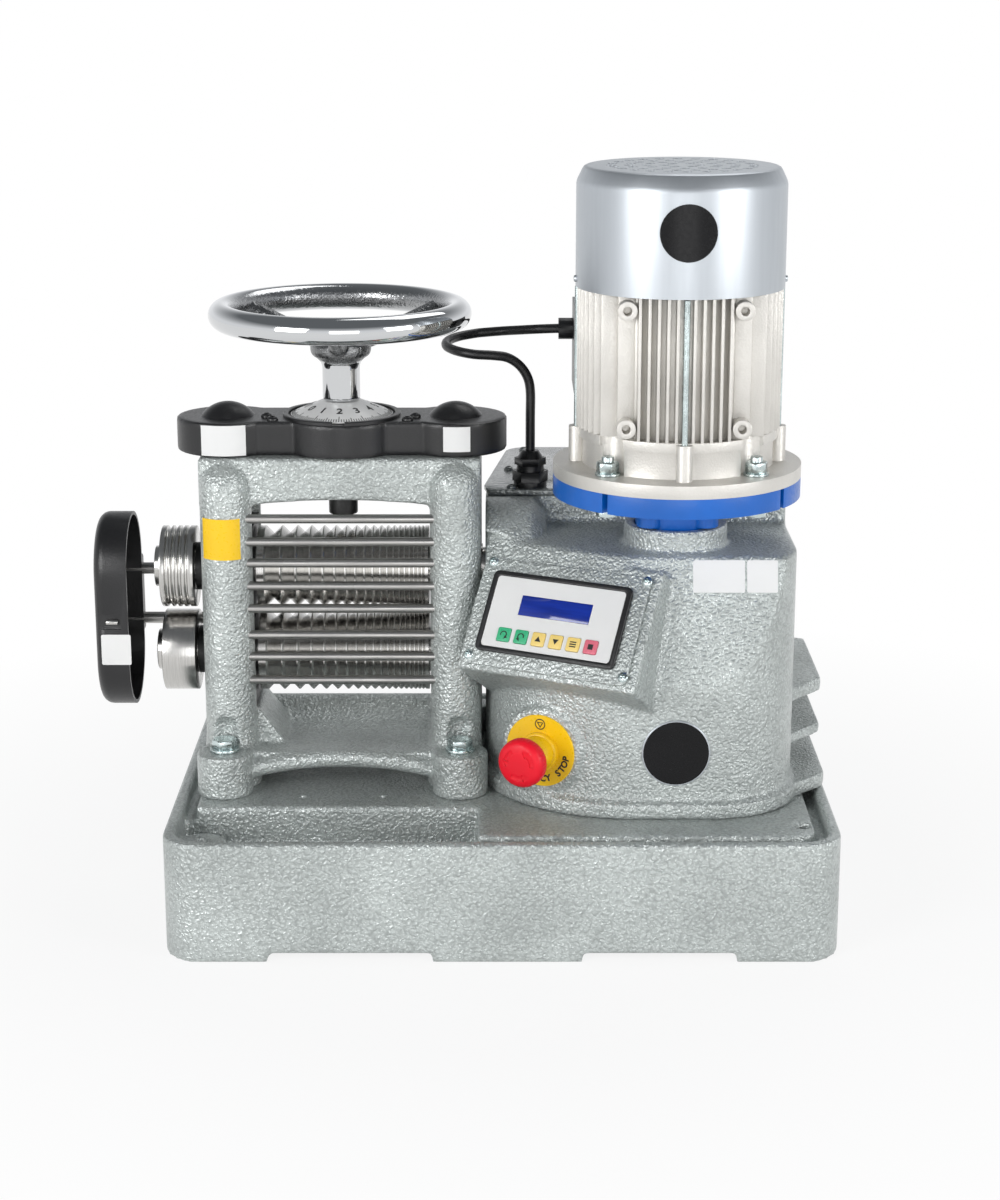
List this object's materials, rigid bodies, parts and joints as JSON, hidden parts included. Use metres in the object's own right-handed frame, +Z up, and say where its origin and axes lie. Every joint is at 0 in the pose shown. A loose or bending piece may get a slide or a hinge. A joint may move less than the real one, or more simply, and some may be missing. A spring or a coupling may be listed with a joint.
{
  "type": "electric wire rolling mill",
  "caption": "Bench electric wire rolling mill: grooved rolls in a cast stand, geared handwheel and dial, finger bars, side rolls, worm geared motor, key panel and stop button on a tray base.",
  "frame": {"origin": "centre of the base footprint, on the face that stands on the bench", "axes": "+X to the right of the operator, +Y to the back, +Z up; rolls lie along X and the wire runs along +Y"},
  "size_m": [0.6065, 0.402, 0.614],
  "materials": {
    "grey_paint": "hammered silver grey paint",
    "dark_paint": "glossy slate paint",
    "black_plastic": "satin black moulding",
    "steel": "ground steel",
    "dark_steel": "blackened steel",
    "zinc": "bright zinc plate",
    "chrome": "polished",
    "bronze": "machined bronze",
    "blue_paint": "gloss blue",
    "alloy": "die cast, silver painted",
    "cover_metal": "silver painted sheet steel",
    "white_plastic": "white",
    "lcd": "dark blue display",
    "red_plastic": "red",
    "yellow_plastic": "yellow",
    "green_key": "green",
    "amber_key": "amber",
    "red_key": "red",
    "cable_sheath": "black sheath",
    "fan_plastic": "black"
  },
  "bodies": {
    "frame": {"base_casting": "grey_paint", "roll_stand": "grey_paint", "stand_bolts": "zinc", "guard_bars": "steel", "lower_bearing_blocks": "dark_steel", "gear_cover": "black_plastic", "cover_screws": "black_plastic", "crown_bushes": "bronze", "gear_housing": "grey_paint", "housing_lid": "dark_paint", "inverter_drive": "black_plastic", "control_panel": "grey_paint", "panel_screws": "zinc", "keypad_bezel": "black_plastic", "keypad_face": "white_plastic", "display_window": "lcd", "estop_plate": "yellow_plastic", "estop_collar": "yellow_plastic", "gearbox_case": "blue_paint", "flange_bolts": "zinc", "motor_flange": "alloy", "motor_body": "alloy", "stator_core": "dark_steel", "tie_rods": "zinc", "fan_cover": "cover_metal", "motor_bearings": "steel", "terminal_box": "black_plastic", "cable_glands": "black_plastic", "motor_cable": "cable_sheath", "guard_rods": "steel", "mains_inlet": "black_plastic", "lift_springs": "steel"},
    "handwheel": {"handwheel": "chrome", "spindle": "steel", "dial": "white_plastic", "spindle_nut": "dark_steel"},
    "left_idler": {"left_idler_gear": "steel"},
    "right_idler": {"right_idler_gear": "steel"},
    "left_screw": {"left_screw": "steel"},
    "right_screw": {"right_screw": "steel"},
    "carriage": {"upper_bearing_blocks": "dark_steel"},
    "upper_roll": {"upper_roll": "steel", "upper_side_roll": "steel", "upper_roll_gear": "dark_steel"},
    "lower_roll": {"lower_roll": "steel", "lower_side_roll": "steel", "lower_roll_gear": "dark_steel", "worm_wheel": "bronze"},
    "rotor": {"motor_rotor": "steel", "cooling_fan": "fan_plastic"},
    "stop_stem": {"estop_stem": "dark_steel"},
    "stop_head": {"estop_head": "red_plastic"},
    "guard": {"side_guard": "black_plastic", "guard_pin": "steel"},
    "key_forward": {"key_forward": "green_key"},
    "key_reverse": {"key_reverse": "green_key"},
    "key_up": {"key_up": "amber_key"},
    "key_down": {"key_down": "amber_key"},
    "key_menu": {"key_menu": "amber_key"},
    "key_stop": {"key_stop": "red_key"}
  },
  "joints": [
    {"name": "handwheel_turn", "type": "hinge", "parent": "frame", "child": "handwheel", "pos_m": [-0.132, -0.01, 0.49], "axis": [0, 0, 1], "range_deg": [-960, 960]},
    {"name": "left_idler_turn", "type": "hinge", "parent": "frame", "child": "left_idler", "pos_m": [-0.17, -0.01, 0.39], "axis": [0, 0, 1], "range_deg": [-866, 866]},
    {"name": "right_idler_turn", "type": "hinge", "parent": "frame", "child": "right_idler", "pos_m": [-0.094, -0.01, 0.39], "axis": [0, 0, 1], "range_deg": [-866, 866]},
    {"name": "carriage_lift", "type": "slide", "parent": "frame", "child": "carriage", "axis": [0, 0, 1], "range_m": [-0.004, 0.004], "deforming": ["lift_springs"]},
    {"name": "left_screw_turn", "type": "hinge", "parent": "carriage", "child": "left_screw", "pos_m": [-0.226, -0.01, 0.39], "axis": [0, 0, 1], "range_deg": [-482, 482]},
    {"name": "right_screw_turn", "type": "hinge", "parent": "carriage", "child": "right_screw", "pos_m": [-0.038, -0.01, 0.39], "axis": [0, 0, 1], "range_deg": [-482, 482]},
    {"name": "rotor_turn", "type": "hinge", "parent": "frame", "child": "rotor", "pos_m": [0.1414, -0.06, 0.46], "axis": [0, 0, 1], "continuous": true},
    {"name": "lower_roll_turn", "type": "hinge", "parent": "frame", "child": "lower_roll", "pos_m": [-0.132, -0.01, 0.2045], "axis": [1, 0, 0], "continuous": true},
    {"name": "upper_roll_turn", "type": "hinge", "parent": "carriage", "child": "upper_roll", "pos_m": [-0.132, -0.01, 0.277], "axis": [1, 0, 0], "continuous": true},
    {"name": "estop_push", "type": "slide", "parent": "frame", "child": "stop_stem", "axis": [0.4384, 0.8988, 0], "range_m": [0, 0.005], "stiffness_N_per_m": 600},
    {"name": "estop_twist", "type": "hinge", "parent": "stop_stem", "child": "stop_head", "pos_m": [0.0315, -0.1195, 0.151], "axis": [-0.4384, -0.8988, 0], "range_deg": [0, 45], "stiffness_Nm_per_rad": 0.05},
    {"name": "guard_slide", "type": "slide", "parent": "frame", "child": "guard", "axis": [1, 0, 0], "range_m": [0, 0.042]},
    {"name": "key_forward_press", "type": "slide", "parent": "frame", "child": "key_forward", "axis": [0.3937, 0.7405, -0.5446], "range_m": [0, 0.0005], "stiffness_N_per_m": 800},
    {"name": "key_reverse_press", "type": "slide", "parent": "frame", "child": "key_reverse", "axis": [0.3937, 0.7405, -0.5446], "range_m": [0, 0.0005], "stiffness_N_per_m": 800},
    {"name": "key_up_press", "type": "slide", "parent": "frame", "child": "key_up", "axis": [0.3937, 0.7405, -0.5446], "range_m": [0, 0.0005], "stiffness_N_per_m": 800},
    {"name": "key_down_press", "type": "slide", "parent": "frame", "child": "key_down", "axis": [0.3937, 0.7405, -0.5446], "range_m": [0, 0.0005], "stiffness_N_per_m": 800},
    {"name": "key_menu_press", "type": "slide", "parent": "frame", "child": "key_menu", "axis": [0.3937, 0.7405, -0.5446], "range_m": [0, 0.0005], "stiffness_N_per_m": 800},
    {"name": "key_stop_press", "type": "slide", "parent": "frame", "child": "key_stop", "axis": [0.3937, 0.7405, -0.5446], "range_m": [0, 0.0005], "stiffness_N_per_m": 800}
  ],
  "couplings": [
    {"joint": "left_idler_turn", "follows": "handwheel_turn", "ratio": -0.9},
    {"joint": "right_idler_turn", "follows": "handwheel_turn", "ratio": -0.9},
    {"joint": "carriage_lift", "follows": "handwheel_turn", "m_per_rad": 0.0002387},
    {"joint": "left_screw_turn", "follows": "handwheel_turn", "ratio": 0.5},
    {"joint": "right_screw_turn", "follows": "handwheel_turn", "ratio": 0.5},
    {"joint": "lower_roll_turn", "follows": "rotor_turn", "ratio": 0.025},
    {"joint": "upper_roll_turn", "follows": "rotor_turn", "ratio": -0.025}
  ]
}
